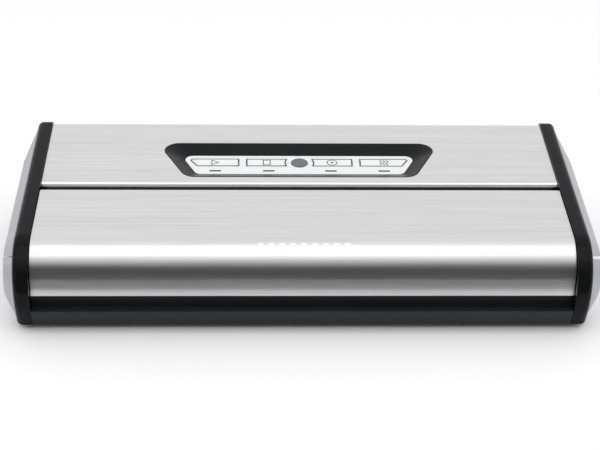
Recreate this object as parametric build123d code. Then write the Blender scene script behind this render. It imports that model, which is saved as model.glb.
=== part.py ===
from build123d import *

import math
import os

# Vacuum sealer for food bags: a brushed steel lid hinged in front of a fixed control deck, between two end caps.
# Frame: +X along the length, -Y towards the user, +Z up, origin on the table under the middle of the body.

# ---------------------------------------------------------------- driving sizes, millimetres
body_length = 372.0      # over the two black end caps
body_depth = 178.0       # nose to back, measured on the end caps
front_height = 59.8      # where the caps' top line would meet the nose
top_slope = 5.3          # degrees, the whole top rises to the back
foot_height = 2.0
housing_wall = 2.5
steel = 0.8              # sheet thickness of both steel skins
running_gap = 0.4        # between the lid and what it moves past
seam = 0.2               # between fixed casings

# End caps and their silver wings
cap_width = 10.5
cap_rounding = 4.0
rim_proud = 1.4          # the caps stand this far above the steel
nose_radius, knee_radius, toe_radius, tail_radius, heel_radius = 50.0, 28.0, 4.0, 9.0, 6.0
nose_height = 22.0       # corner where the front leans back towards the toe
toe_setback = 9.5
wing_proud = 6.5
wing_inset = 4.8
wing_bevel = 5.2         # width of the sloping face round the top and front
wing_rear_taper = 39.0   # and of the flats at the rear and the bottom
wing_under_taper = 19.0
wing_pocket = 4.5
wing_clearance = 0.3
cap_pocket = 3.0
cap_pocket_inset = 11.0

# Release buttons, cut from the wings along a sloping seam
seam_start = (-76.5, 52.0)
seam_angle = -28.0
seam_gap_right = 2.0
seam_gap_left = 0.4
button_travel = 2.2
button_room = 0.5
stem_height, stem_breadth = 5.0, 9.0
guide_radius = 2.0
guide_places = ((-66.0, 34.0), (-20.0, 11.0))

# Lid
lid_front = 5.5          # the lid's face stands this far behind the nose
lid_radius = 22.0
lip_height = 26.7        # bottom edge of the lid's face
lid_rear = -9.5          # the hinge axis, along Y
barrel_radius = 4.2
lid_wall = 2.2
lid_floor = 30.6         # underside of the lid's liner
liner_thickness = 4.0
hinge_pin_radius = 2.0
pin_clearance = 0.05
pin_reach = 9.0          # how far each pin goes into the lid
pin_grip = 5.5           # and into its end cap
dimple_count = 9
dimple_pitch = 7.0
dimple_radius = 2.5
dimple_height = 0.5
dimple_angle = 25.0      # degrees round the lid's front bend, from upright
lid_opening = 80.0       # degrees

# Chamber deck, heater and gaskets
deck_top = 28.0
deck_thickness = 3.5
front_wall = -77.5       # front face of the deck and back of the finger recess
strip_top = 16.6         # top of the front strip, bottom of the finger recess
trough_half, trough_front, trough_back, trough_bottom = 140.0, -50.5, -32.0, 16.0
trough_wall, trough_lip = 1.6, 1.2
gasket_half, gasket_front, gasket_back = 160.0, -62.0, -20.0
gasket_width, gasket_groove, gasket_proud = 7.0, 2.2, 1.5
heater_line, heater_half = -70.0, 158.0
heater_width, heater_depth, heater_proud = 7.0, 2.0, 0.4
ribbon_width, ribbon_thickness, tape_thickness = 3.0, 0.2, 0.15
seal_gap = 0.25          # between the facing gaskets, and the tape and its pressure bar

# Latches
hook_inner, hook_thickness, hook_front, hook_breadth = 166.0, 2.5, -61.0, 8.0
hook_tip, barb_length, barb_height = 22.0, 2.0, 2.0
hook_swing = 9.5         # room in front of the hook as it swings out
slide_thickness, slide_gap = 2.0, 0.4
slide_inner, slide_breadth = 153.5, 20.0
spring_seat, spring_wire, spring_radius, spring_turns = 146.0, 0.7, 2.6, 4

# Control deck
groove_back = 0.0        # front face of the rear steel panel
panel_edge_radius = 3.0
flange_depth = 8.0
steel_back = 1.4         # the back faces stand this far inside the caps' back
steel_skirt = 14.0
housing_split = 50.0     # the lower housing's back wall ends here
bezel_front, bezel_back = 8.3, 54.3
bezel_half_front, bezel_half_back = 78.5, 99.5
bezel_radius = 10.0
bezel_edge = 0.8
overlay_front, overlay_back = 18.8, 43.6
overlay_half_front, overlay_half_back = 71.5, 82.5
overlay_radius = 5.5
overlay_depth, overlay_thickness = 4.0, 0.8
bezel_floor = 1.7
key_front, key_back = 29.3, 39.3
key_inner_span, key_outer_start, key_outer_front, key_outer_back = (8.5, 37.0), 42.0, 71.5, 76.0
key_gap, key_travel, key_proud, key_flange = 0.25, 0.6, 0.1, 0.9
key_foot_radius = 1.7
lamp_radius, lamp_line = 6.0, 33.8
window_places, window_length, window_height, window_line = (21.5, 58.5), 8.3, 1.8, 23.1
board_depth, board_thickness, board_half = 10.0, 1.6, 84.0

# Inside the rear compartment
pump_x, pump_y, motor_z = 130.0, 59.0, 25.0
head_size = (32.0, 30.0, 38.0)
motor_radius, motor_length = 15.0, 42.0
shaft_radius, eccentric_radius, eccentric_throw = 1.5, 6.0, 2.0
hose_radius, hose_bore, hose_line = 3.0, 1.6, 20.0
core_size, core_place = (48.0, 20.0, 40.0), (-126.0, 42.0)
power_board_box = ((-88.0, 42.0), (16.0, 74.0))
power_board_top = 11.6
gland_x, gland_z, gland_bore, gland_radius = -130.0, 22.0, 3.5, 6.0
gland_flange, gland_length = 8.5, 16.0

lid_screw_length = 9.5
foot_radius, foot_recess = 7.0, 1.0
foot_places = ((150.0, -62.0), (150.0, 72.0))
screw_radius, screw_head, screw_head_height = 1.5, 3.0, 2.0
boss_radius, boss_split_front, boss_split_rear = 4.0, 14.0, 40.0
front_screw, rear_screw = (100.0, -63.0), (165.0, 74.0)
cap_screw_places = ((-30.0, 14.0), (40.0, 14.0))
end_rib, end_rib_height = 2.5, 24.0

# ---------------------------------------------------------------- derived sizes
outer_half = body_length / 2
inner_half = outer_half - cap_width
nose, back = -body_depth / 2, body_depth / 2
slope = math.tan(math.radians(top_slope))
floor_top = foot_height + seam + housing_wall
deck_bottom = deck_top - deck_thickness
lid_face = nose + lid_front
lid_half = inner_half - running_gap
panel_half = inner_half - seam
steel_rear = back - steel_back
pocket_floor = outer_half - wing_pocket
button_back = pocket_floor + button_travel + button_room
slide_top = hook_tip - slide_gap
stem_line = hook_front + hook_breadth / 2
deck_back = groove_back + steel + housing_wall


def rim_height(y):
    """Height of the end caps' top line."""
    return front_height + (y - nose) * slope


def skin_height(y):
    """Height of the outside of the steel."""
    return rim_height(y) - rim_proud


hinge_height = skin_height(lid_rear) - (steel + barrel_radius) / math.cos(math.radians(top_slope))
top_plane = Plane(
    origin=(0, 0, skin_height(0)),
    x_dir=(1, 0, 0),
    z_dir=(0, -math.sin(math.radians(top_slope)), math.cos(math.radians(top_slope))),
)


# ---------------------------------------------------------------- helpers
def bar(section, x_start, x_end):
    """A section drawn in the side view (Y across, Z up), run along X."""
    return extrude(Plane.YZ.offset(x_start) * section, amount=x_end - x_start)


def block(x0, x1, y0, y1, z0, z1):
    return Pos((x0 + x1) / 2, (y0 + y1) / 2, (z0 + z1) / 2) * Box(abs(x1 - x0), abs(y1 - y0), abs(z1 - z0))


def side_box(y0, y1, z0, z1):
    return Pos((y0 + y1) / 2, (z0 + z1) / 2) * Rectangle(abs(y1 - y0), abs(z1 - z0))


def rod_x(x0, x1, y, z, radius):
    """A round rod along X."""
    return bar(Pos(y, z) * Circle(radius), x0, x1)


def rod_z(x, y, z0, z1, radius):
    """A round rod along Z."""
    return Pos(x, y, (z0 + z1) / 2) * Cylinder(radius, abs(z1 - z0))


def rounded(points, radii):
    return make_face(FilletPolyline(*points, radius=list(radii), close=True))


def inset_corners(corners, inset):
    """Corners of a convex outline, listed anticlockwise, with every side moved inwards."""
    moved = []
    for i, corner in enumerate(corners):
        before, after = corners[i - 1], corners[(i + 1) % len(corners)]
        turns = []
        for start, end in ((before, corner), (corner, after)):
            along = Vector(end[0] - start[0], end[1] - start[1]).normalized()
            normal = Vector(-along.Y, along.X)
            turns.append((along, Vector(start[0], start[1]) + normal * inset))
        (u, p), (v, q) = turns
        step = ((q.X - p.X) * v.Y - (q.Y - p.Y) * v.X) / (u.X * v.Y - u.Y * v.X)
        moved.append((p.X + u.X * step, p.Y + u.Y * step))
    return moved


def cap_face(inset=0.0, least=1.0, most=60.0):
    """The closed side profile of the body, moved inwards, its corner radii kept between two limits."""
    corners = [
        (back, foot_height),
        (back, rim_height(back)),
        (nose, rim_height(nose)),
        (nose, nose_height),
        (nose + toe_setback, foot_height),
    ]
    radii = [heel_radius, tail_radius, knee_radius, nose_radius, toe_radius]
    return rounded(inset_corners(corners, inset), [min(max(r - inset, least), most) for r in radii])


def lid_face_profile(inset=0.0, rear=lid_rear):
    """The lid's side profile down to its lip, with the outside moved inwards."""
    back_edge = rear + inset
    corners = [
        (back_edge, -inset),
        (back_edge, skin_height(back_edge)),
        (lid_face, skin_height(lid_face)),
        (lid_face, nose_height),
        (lid_face + toe_setback, foot_height),
    ]
    radii = [0.1, 0.1, lid_radius - inset, nose_radius - lid_front - inset, 0.1]
    outline = rounded(inset_corners(corners, inset), radii)
    return outline & side_box(lid_face - 1, rear, lip_height, body_depth)


def trapezoid(front, rear, half_front, half_rear, radius, grow=0.0):
    """A rounded trapezoid on the sloping top, symmetric about X = 0."""
    corners = [(-half_front, front), (half_front, front), (half_rear, rear), (-half_rear, rear)]
    return rounded(inset_corners(corners, -grow), [max(radius + grow, 0.8)] * 4)


def on_top(section, depth_from, depth_to):
    """A section drawn on the sloping top, run between two depths below the steel's surface."""
    return extrude(top_plane.offset(-depth_to) * section, amount=depth_to - depth_from)


def racetrack(half, front, rear, width):
    outer = Pos(0, (front + rear) / 2) * RectangleRounded(2 * half, rear - front, 9)
    inner = Pos(0, (front + rear) / 2) * RectangleRounded(2 * (half - width), rear - front - 2 * width, 3)
    return outer - inner


def mirrored(shape):
    return mirror(shape, about=Plane.YZ)


def both_sides(shape):
    return Compound(children=[*shape.solids(), *mirrored(shape).solids()])


def group(shapes):
    return Compound(children=[s for shape in shapes for s in shape.solids()])


def screw_up(x, y, z_head, length):
    """A self-tapping screw driven upwards, its head at the bottom."""
    head = rod_z(x, y, z_head, z_head + screw_head_height, screw_head)
    slot = block(x - 2.2, x + 2.2, y - 0.4, y + 0.4, z_head, z_head + 0.9)
    cross = block(x - 0.4, x + 0.4, y - 2.2, y + 2.2, z_head, z_head + 0.9)
    shank = rod_z(x, y, z_head + screw_head_height, z_head + length, screw_radius)
    return head + shank - slot - cross


# ---------------------------------------------------------------- end caps, wings and buttons
def end_cap_right():
    cap = bar(cap_face(), inner_half, outer_half)
    cap = fillet(cap.faces().sort_by(Axis.X)[-1].edges(), cap_rounding)
    cap -= bar(cap_face(wing_inset), pocket_floor, outer_half)
    cap -= bar(cap_face(cap_pocket_inset), inner_half, inner_half + cap_pocket)
    cap -= rod_x(inner_half, inner_half + pin_grip, lid_rear, hinge_height, hinge_pin_radius)
    stem_room = 0.5
    cap -= bar(
        Pos(stem_line, slide_top - slide_thickness / 2)
        * Rectangle(stem_breadth + 2 * stem_room, stem_height + 2 * stem_room),
        inner_half,
        outer_half,
    )
    for y, z in guide_places:
        cap -= rod_x(inner_half, outer_half, y, z, guide_radius + 0.3)
    for y, z in cap_screw_places:
        cap -= rod_x(inner_half, pocket_floor - 0.8, y, z, screw_radius)
        boss = rod_x(inner_half, inner_half + cap_pocket, y, z, boss_radius)
        cap += boss - rod_x(inner_half, pocket_floor, y, z, screw_radius)
    return cap


def shave(plane, start, run, towards):
    """A wedge that planes a wing down from its crown to a line on the cap, start, along one side."""
    near = (outer_half, start)
    far = (outer_half + 2 * wing_proud, start - 2 * run * towards)
    corner = (outer_half + 2 * wing_proud, start)
    return extrude(plane * make_face(Polyline(near, far, corner, close=True)), amount=body_length, both=True)


def wing_blank():
    """The whole silver wing: a plug in the cap's pocket and a bevelled crown with a rear and a lower flat."""
    inset = wing_inset + wing_clearance
    plug = bar(cap_face(inset), pocket_floor, outer_half)
    foot = Plane.YZ.offset(outer_half) * cap_face(inset, least=2.0)
    crown = Plane.YZ.offset(outer_half + wing_proud) * cap_face(inset + wing_bevel, least=2.0)
    blank = loft([foot, crown], ruled=True)
    blank -= shave(Plane.XY, back - inset, wing_rear_taper, 1)
    blank -= shave(Plane.XZ, foot_height + inset, wing_under_taper, -1)
    return plug + blank


def button_zone(shift):
    """Side-view region below and in front of the seam, with the seam moved down by shift."""
    run = body_depth
    y, z = seam_start
    rise = math.tan(math.radians(seam_angle))
    start = (y - run / 4, z - rise * run / 4 - shift)
    end = (y + run, z + rise * run - shift)
    return make_face(Polyline(start, end, (end[0], end[1] - 2 * run), (start[0], end[1] - 2 * run), close=True))


def wing_right():
    return wing_blank() - bar(button_zone(0.0), 0, body_length)


def release_button_right(gap):
    button = wing_blank() & bar(button_zone(gap / math.cos(math.radians(seam_angle))), button_back, body_length)
    for y, z in guide_places:
        button += rod_x(inner_half + cap_pocket - 1.5 + button_travel, button_back + 0.5, y, z, guide_radius)
    return button


def latch_slide_right():
    plate = block(
        slide_inner,
        inner_half - 1.0,
        stem_line - slide_breadth / 2,
        stem_line + slide_breadth / 2,
        slide_top - slide_thickness,
        slide_top,
    )
    window = block(
        hook_inner - slide_gap,
        hook_inner + hook_thickness + button_travel + 1.0,
        hook_front - hook_swing / 3,
        hook_front + hook_breadth + 0.6,
        slide_top - slide_thickness,
        slide_top,
    )
    stem = bar(
        Pos(stem_line, slide_top - slide_thickness / 2) * Rectangle(stem_breadth, stem_height),
        inner_half - 3.0,
        button_back,
    )
    peg = rod_x(slide_inner - 3.0, slide_inner, stem_line, slide_top - slide_thickness / 2, 1.2)
    return plate - window + stem + peg


def latch_spring_right():
    """Compression spring between the housing's seat and the slide."""
    length = slide_inner - spring_seat
    pitch = (length - 2 * spring_wire) / spring_turns
    path = Helix(pitch=pitch, height=pitch * spring_turns, radius=spring_radius - spring_wire / 2)
    profile = Plane(origin=path @ 0, z_dir=path % 0) * Circle(spring_wire / 2)
    coil = sweep(profile, path=path)
    place = Plane(
        origin=(spring_seat + spring_wire, stem_line, slide_top - slide_thickness / 2), z_dir=(1, 0, 0)
    )
    return place * coil


# ---------------------------------------------------------------- housing
def lower_housing():
    """Tray between the end caps, with the front strip, screw columns, end ribs and latch guides."""
    outline = cap_face(seam) & side_box(nose, steel_rear, 0, body_depth)
    reach = side_box(nose - 1, front_wall, 0, strip_top)
    reach += side_box(front_wall, groove_back, 0, deck_bottom)
    reach += side_box(groove_back, back + 1, 0, deck_bottom)
    reach += side_box(steel_rear - housing_wall, back + 1, 0, housing_split)
    room = cap_face(seam + housing_wall) & side_box(nose, steel_rear - housing_wall, 0, body_depth)
    hollow = side_box(nose - 1, front_wall + housing_wall, 0, strip_top - housing_wall)
    hollow += side_box(front_wall + housing_wall, back + 1, 0, body_depth)
    tray = bar((outline & reach) - (room & hollow), -inner_half, inner_half)
    for side in (1, -1):
        tray += end_details(side)
    for x in (front_screw[0], -front_screw[0]):
        tray += rod_z(x, front_screw[1], floor_top - 0.5, boss_split_front, boss_radius)
        tray -= screw_clearance(x, front_screw[1], boss_split_front)
    for x in (rear_screw[0], -rear_screw[0]):
        tray += rod_z(x, rear_screw[1], floor_top - 0.5, boss_split_rear, boss_radius)
        tray -= screw_clearance(x, rear_screw[1], boss_split_rear)
    for x, y in foot_places:
        for side in (1, -1):
            tray -= rod_z(side * x, y, 0, foot_height + foot_recess, foot_radius + 0.1)
    tray -= Pos(gland_x, back - housing_wall / 2, gland_z) * Rot(90, 0, 0) * Cylinder(gland_radius, 4 * housing_wall)
    vent_pitch, vent_count = 6.0, 9
    for i in range(vent_count):
        x = pump_x - 25 + i * vent_pitch - vent_pitch * (vent_count - 1) / 2
        tray -= block(x - 1.2, x + 1.2, back - 8, back + 2, 14, 38)
        tray -= block(x - 1.2, x + 1.2, 20, 60, 0, floor_top + 1)
    return tray


def end_details(side):
    """End rib with its latch opening, the slide's two guide ribs and the spring seat."""
    x0, x1 = sorted((side * (inner_half - end_rib), side * inner_half))
    rib = bar(cap_face(seam + housing_wall / 2) & side_box(front_wall + 1, back, 0, end_rib_height - seam), x0, x1)
    rib -= block(
        x0,
        x1,
        stem_line - slide_breadth / 2 - 0.5,
        stem_line + slide_breadth / 2 + 0.5,
        slide_top - stem_height,
        end_rib_height,
    )
    for y, z in guide_places:
        rib -= rod_x(x0, x1, y, z, guide_radius + 1)
    for y, z in cap_screw_places:
        rib -= rod_x(x0, x1, y, z, screw_radius + 0.2)
    guides = []
    for edge in (-1, 1):
        y = stem_line + edge * (slide_breadth / 2 - 1.5)
        gx0, gx1 = sorted((side * (slide_inner + 2), side * (inner_half - end_rib)))
        guides.append(block(gx0, gx1, y - 1, y + 1, floor_top - 0.5, slide_top - slide_thickness - seam))
    sx0, sx1 = sorted((side * (spring_seat - 2.5), side * spring_seat))
    guides.append(block(sx0, sx1, stem_line - 5, stem_line + 5, floor_top - 0.5, deck_bottom - 0.5))
    for piece in guides:
        rib += piece
    return rib


def screw_clearance(x, y, top):
    """Counterbore and clearance hole for a screw from below."""
    return rod_z(x, y, 0, floor_top + 2.0, screw_head + 0.3) + rod_z(x, y, 0, top, screw_radius + 0.2)


def housing_screws():
    seat = floor_top + 2.0 - screw_head_height
    front = screw_up(front_screw[0], front_screw[1], seat, boss_split_front - seat + 7)
    rear = screw_up(rear_screw[0], rear_screw[1], seat, boss_split_rear - seat + 8)
    return both_sides(front + rear)


def cap_screws():
    shapes = []
    for y, z in cap_screw_places:
        x = inner_half - end_rib
        head = rod_x(x - screw_head_height, x, y, z, screw_head)
        cross = block(x - screw_head_height, x - 1.1, y - 0.4, y + 0.4, z - 2.2, z + 2.2)
        cross += block(x - screw_head_height, x - 1.1, y - 2.2, y + 2.2, z - 0.4, z + 0.4)
        shapes.append(head + rod_x(x, pocket_floor - 1.2, y, z, screw_radius) - cross)
    return both_sides(shapes[0] + shapes[1])


def rubber_feet():
    shapes = []
    for x, y in foot_places:
        foot = rod_z(x, y, 0, foot_height + foot_recess, foot_radius)
        shapes.append(fillet(foot.edges().sort_by(Axis.Z)[0], 0.8))
    return both_sides(group(shapes))


def cord_gland():
    """Flanged bush for the mains lead, in the back wall."""
    axis = Pos(gland_x, 0, gland_z) * Rot(90, 0, 0)
    bush = Pos(0, back - gland_length / 2, 0) * axis * Cylinder(gland_radius, gland_length)
    flange = Pos(0, back - steel_back / 2, 0) * axis * Cylinder(gland_flange, steel_back)
    nut = Pos(0, steel_rear - housing_wall - 1.5, 0) * axis * Cylinder(gland_flange - 0.5, 3.0)
    bore = Pos(0, back, 0) * axis * Cylinder(gland_bore, 3 * gland_length)
    return bush + flange + nut - bore


# ---------------------------------------------------------------- chamber deck
def chamber_deck():
    deck = block(-panel_half, panel_half, front_wall, deck_back, deck_bottom, deck_top)
    deck -= basin(trough_wall + seam, trough_bottom, deck_top)
    deck -= basin(trough_wall + seam + trough_lip, deck_top - trough_wall / 2 - seam, deck_top)
    deck -= extrude(
        Plane.XY.offset(deck_top - gasket_groove) * racetrack(gasket_half, gasket_front, gasket_back, gasket_width),
        amount=gasket_groove,
    )
    deck -= block(
        -heater_half - seam,
        heater_half + seam,
        heater_line - heater_width / 2,
        heater_line + heater_width / 2,
        deck_top - heater_depth,
        deck_top,
    )
    slot = block(
        hook_inner - barb_length - 1.0,
        hook_inner + hook_thickness + 1.0,
        hook_front - hook_swing,
        hook_front + hook_breadth + 1.0,
        deck_bottom,
        deck_top,
    )
    deck -= slot
    deck -= mirrored(slot)
    for x in (front_screw[0], -front_screw[0]):
        boss = rod_z(x, front_screw[1], boss_split_front, deck_bottom, boss_radius)
        deck += boss - rod_z(x, front_screw[1], boss_split_front, boss_split_front + 7, screw_radius)
    return deck


def basin(grow, bottom, top):
    """The trough's inside, grown all round."""
    inside = block(
        -trough_half - grow, trough_half + grow, trough_front - grow, trough_back + grow, bottom, top
    )
    return fillet(inside.edges().filter_by(Axis.Z), 6)


def suction_trough():
    """Tray that catches liquid, hung in the deck by its lip."""
    tray = basin(trough_wall, trough_bottom - trough_wall, deck_top)
    tray += basin(trough_wall + trough_lip, deck_top - trough_wall / 2, deck_top)
    tray -= basin(0.0, trough_bottom, deck_top)
    port = Pos(hose_port_x(), trough_back + 1, hose_line) * Rot(90, 0, 0) * Cylinder(hose_bore + 1.0, 4 * trough_wall)
    return tray - port


def hose_port_x():
    return min(pump_x, trough_half - 10)


def lower_gasket():
    return extrude(
        Plane.XY.offset(deck_top - gasket_groove) * racetrack(gasket_half, gasket_front, gasket_back, gasket_width),
        amount=gasket_groove + gasket_proud,
    )


def heater_bar():
    return block(
        -heater_half,
        heater_half,
        heater_line - heater_width / 2,
        heater_line + heater_width / 2,
        deck_top - heater_depth,
        deck_top + heater_proud,
    )


def heater_ribbon():
    z = deck_top + heater_proud
    return block(
        -heater_half + 2, heater_half - 2,
        heater_line - ribbon_width / 2, heater_line + ribbon_width / 2,
        z, z + ribbon_thickness,
    )


def heater_tape():
    z = deck_top + heater_proud + ribbon_thickness
    return block(
        -heater_half, heater_half,
        heater_line - heater_width / 2, heater_line + heater_width / 2,
        z, z + tape_thickness,
    )


def suction_nozzle():
    """Barbed elbow in the trough's back wall, where the hose starts."""
    start = trough_back
    axis = Pos(hose_port_x(), 0, hose_line) * Rot(90, 0, 0)
    flange = Pos(0, start - 0.5, 0) * axis * Cylinder(hose_bore + 2.0, 1.0)
    neck = Pos(0, start + trough_wall / 2, 0) * axis * Cylinder(hose_bore + 1.0, trough_wall)
    spigot = Pos(0, start + trough_wall + 4, 0) * axis * Cylinder(hose_bore, 8.0)
    bore = Pos(0, start, 0) * axis * Cylinder(0.9, 40.0)
    return flange + neck + spigot - bore


# ---------------------------------------------------------------- lid
def lid_skin():
    skin = lid_face_profile() - lid_face_profile(steel)
    curl = (Pos(lid_rear, hinge_height) * Circle(barrel_radius + steel)) - (
        Pos(lid_rear, hinge_height) * Circle(barrel_radius)
    )
    curl &= side_box(lid_rear, lid_rear + 10, hinge_height + barrel_radius / 2, hinge_height + 10)
    solid = bar(skin + curl, -lid_half, lid_half)
    angle = math.radians(dimple_angle)
    normal = Vector(0, -math.sin(angle), math.cos(angle))
    bend_y = lid_face + lid_radius
    bend = Vector(0, bend_y, skin_height(bend_y) - lid_radius / math.cos(math.radians(top_slope)))
    sphere = (dimple_radius**2 + dimple_height**2) / (2 * dimple_height)
    for i in range(dimple_count):
        x = (i - (dimple_count - 1) / 2) * dimple_pitch
        crown = bend + Vector(x, 0, 0) + normal * (lid_radius + dimple_height)
        stud = Plane(origin=crown - normal * (dimple_height + steel / 2), x_dir=(1, 0, 0), z_dir=normal)
        disc = stud * extrude(Circle(dimple_radius), amount=dimple_height + steel)
        solid += (Pos(*(crown - normal * sphere)) * Sphere(sphere)) & disc
    return solid


def lid_frame():
    """Moulding under the lid's skin: front lip, top, end walls and the hinge barrel."""
    solid_part = lid_face_profile(steel) & (
        side_box(nose, back, lid_floor - 0.6, body_depth)
        + side_box(nose, lid_face + steel + lid_wall, 0, body_depth)
    )
    rear = side_box(lid_rear - 1, lid_rear + barrel_radius, lid_floor - 0.6, hinge_height)
    barrel = Pos(lid_rear, hinge_height) * Circle(barrel_radius)
    section = solid_part + rear + barrel
    inner = lid_face_profile(steel + lid_wall, rear=lid_rear - barrel_radius) & side_box(nose, back, 0, body_depth)
    inner += side_box(
        lid_rear - 2 * barrel_radius, lid_rear + barrel_radius - lid_wall, 0, hinge_height - barrel_radius - 1
    )
    frame = bar(section, -lid_half, lid_half) - bar(inner, -lid_half + lid_wall, lid_half - lid_wall)
    for side in (1, -1):
        x0, x1 = sorted((side * (lid_half - pin_reach), side * lid_half))
        frame -= rod_x(x0, x1, lid_rear, hinge_height, hinge_pin_radius + pin_clearance)
    rib_pitch = 2 * lid_half / 6
    for i in range(1, 6):
        x = -lid_half + i * rib_pitch
        web = inner & side_box(nose, back, lid_floor + liner_thickness + 0.4, body_depth)
        frame += bar(web, x - 0.8, x + 0.8)
    liner_top = lid_floor + liner_thickness
    for x, y in lid_screw_places():
        frame += rod_z(x, y, liner_top, skin_height(y) - steel - 1, boss_radius - 0.5)
        frame -= rod_z(x, y, liner_top, lid_floor + lid_screw_length, screw_radius)
    return frame


def liner_bounds():
    front = lid_face + steel + lid_wall + seam
    rear = lid_rear + barrel_radius - lid_wall - seam
    return front, rear, lid_half - lid_wall - seam


def lid_liner():
    front, rear, half = liner_bounds()
    liner = block(-half, half, front, rear, lid_floor, lid_floor + liner_thickness)
    liner -= extrude(
        Plane.XY.offset(lid_floor) * racetrack(gasket_half, gasket_front, gasket_back, gasket_width),
        amount=gasket_groove,
    )
    liner -= block(
        -heater_half - seam,
        heater_half + seam,
        heater_line - heater_width / 2 - 0.5,
        heater_line + heater_width / 2 + 0.5,
        lid_floor,
        lid_floor + gasket_groove + 0.8,
    )
    recess = block(-trough_half, trough_half, trough_front, trough_back, lid_floor, lid_floor + gasket_groove)
    liner -= fillet(recess.edges().filter_by(Axis.Z), 6)
    seat = hook_base(0.1)
    liner -= seat
    liner -= mirrored(seat)
    for x, y in lid_screw_places():
        liner -= rod_z(x, y, lid_floor, lid_floor + screw_head_height, screw_head + 0.3)
        liner -= rod_z(x, y, lid_floor, lid_floor + liner_thickness, screw_radius + 0.2)
    return liner


def upper_gasket():
    bottom = deck_top + gasket_proud + seal_gap
    return extrude(
        Plane.XY.offset(bottom) * racetrack(gasket_half, gasket_front, gasket_back, gasket_width),
        amount=lid_floor + gasket_groove - bottom,
    )


def pressure_bar():
    """Silicone strip that presses the bag on the heater."""
    bottom = deck_top + heater_proud + ribbon_thickness + tape_thickness + seal_gap
    strip = block(
        -heater_half,
        heater_half,
        heater_line - heater_width / 2 - 0.5,
        heater_line + heater_width / 2 + 0.5,
        bottom,
        lid_floor + gasket_groove + 0.8,
    )
    return fillet(strip.edges().filter_by(Axis.X).group_by(Axis.Z)[0], 1.0)


def hook_base(grow=0.0):
    return block(
        hook_inner - 3 - grow,
        hook_inner + hook_thickness + 1.5 + grow,
        hook_front - 2 - grow,
        hook_front + hook_breadth + 2 + grow,
        lid_floor,
        lid_floor + 1.6,
    )


def latch_hooks():
    shank = block(
        hook_inner, hook_inner + hook_thickness,
        hook_front, hook_front + hook_breadth,
        hook_tip, lid_floor,
    )
    profile = Polyline(
        (hook_inner, hook_tip),
        (hook_inner, hook_tip + barb_height),
        (hook_inner - barb_length, hook_tip + barb_height),
        (hook_inner - 0.4, hook_tip),
        close=True,
    )
    barb = extrude(Plane.XZ.offset(-hook_front) * make_face(profile), amount=-hook_breadth)
    return both_sides(shank + barb + hook_base())


def lid_screws():
    return group([screw_up(x, y, lid_floor, lid_screw_length) for x, y in lid_screw_places()])


def lid_screw_places():
    return [(x, (gasket_back + liner_bounds()[1]) / 2) for x in (-140.0, -50.0, 50.0, 140.0)]


def hinge_pins():
    pin = rod_x(lid_half - pin_reach + 0.5, inner_half + pin_grip, lid_rear, hinge_height, hinge_pin_radius)
    return both_sides(pin)


# ---------------------------------------------------------------- control deck
def rear_profile(inset=0.0):
    """Side profile of the fixed rear top, with the outside moved inwards."""
    corners = [
        (steel_rear, 0.0),
        (steel_rear, skin_height(steel_rear)),
        (groove_back, skin_height(groove_back)),
        (groove_back, 0.0),
    ]
    radii = [1.0, tail_radius - 1.0, panel_edge_radius, 1.0]
    return rounded(inset_corners(corners, inset), [max(r - inset, 0.3) for r in radii])


def bezel_shape(grow=0.0):
    return trapezoid(bezel_front, bezel_back, bezel_half_front, bezel_half_back, bezel_radius, grow)


def rear_panel():
    sheet = rear_profile() - rear_profile(steel)
    sheet &= side_box(groove_back - 1, steel_rear / 2, skin_height(groove_back) - flange_depth, body_depth) + side_box(
        steel_rear / 2 - 1, back + 1, skin_height(steel_rear) - steel_skirt, body_depth
    )
    panel = bar(sheet, -panel_half, panel_half)
    for side in (1, -1):
        x0, x1 = sorted((side * (panel_half - 3.5), side * panel_half))
        panel -= block(x0, x1, groove_back - 1, groove_back + steel, 0, skin_height(groove_back) - panel_edge_radius)
    return panel - on_top(bezel_shape(seam), -2, 4)


def rear_deck():
    shell = rear_profile(steel) - rear_profile(steel + housing_wall)
    front = side_box(groove_back, steel_rear / 2, deck_top, body_depth)
    rear = side_box(steel_rear / 2 - 1, back, housing_split, body_depth)
    deck = bar(shell & (front + rear), -panel_half, panel_half)
    deck -= on_top(bezel_shape(seam), -2, 8)
    for x in (rear_screw[0], -rear_screw[0]):
        top = skin_height(rear_screw[1]) - steel - housing_wall + 1
        boss = rod_z(x, rear_screw[1], boss_split_rear, top, boss_radius)
        deck += boss - rod_z(x, rear_screw[1], boss_split_rear, boss_split_rear + 8, screw_radius)
    return deck


def overlay_shape(grow=0.0):
    return trapezoid(overlay_front, overlay_back, overlay_half_front, overlay_half_back, overlay_radius, grow)


def control_bezel():
    floor_depth = overlay_depth + overlay_thickness
    body = on_top(bezel_shape(), 0.0, floor_depth + bezel_floor)
    lip = on_top(bezel_shape(4.0), steel + housing_wall + 0.1, steel + housing_wall + 1.6)
    body += lip
    slope_walls = loft(
        [
            top_plane * bezel_shape(-bezel_edge),
            top_plane.offset(-overlay_depth) * overlay_shape(),
        ],
        ruled=True,
    )
    body -= slope_walls
    body -= on_top(overlay_shape(), overlay_depth, floor_depth)
    for outline in key_outlines().values():
        body -= on_top(offset(outline, key_gap), 0, 20)
    body -= on_top(Pos(0, lamp_line) * Circle(lamp_radius - 1), 0, 20)
    for x in window_xs():
        body -= on_top(Pos(x, window_line) * Rectangle(window_length - 2, window_height), 0, 20)
    under = floor_depth + bezel_floor
    for x, y in board_posts():
        body += on_top(Pos(x, y) * Circle(2.5), under - 0.2, board_depth)
        body -= on_top(Pos(x, y) * Circle(0.9), under + 0.4, board_depth)
    return body


def window_xs():
    return [side * x for x in window_places for side in (-1, 1)]


def board_posts():
    return [(side * x, y) for side in (-1, 1) for x, y in ((board_half - 3.4, 36.0), (39.6, 23.5))]


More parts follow.
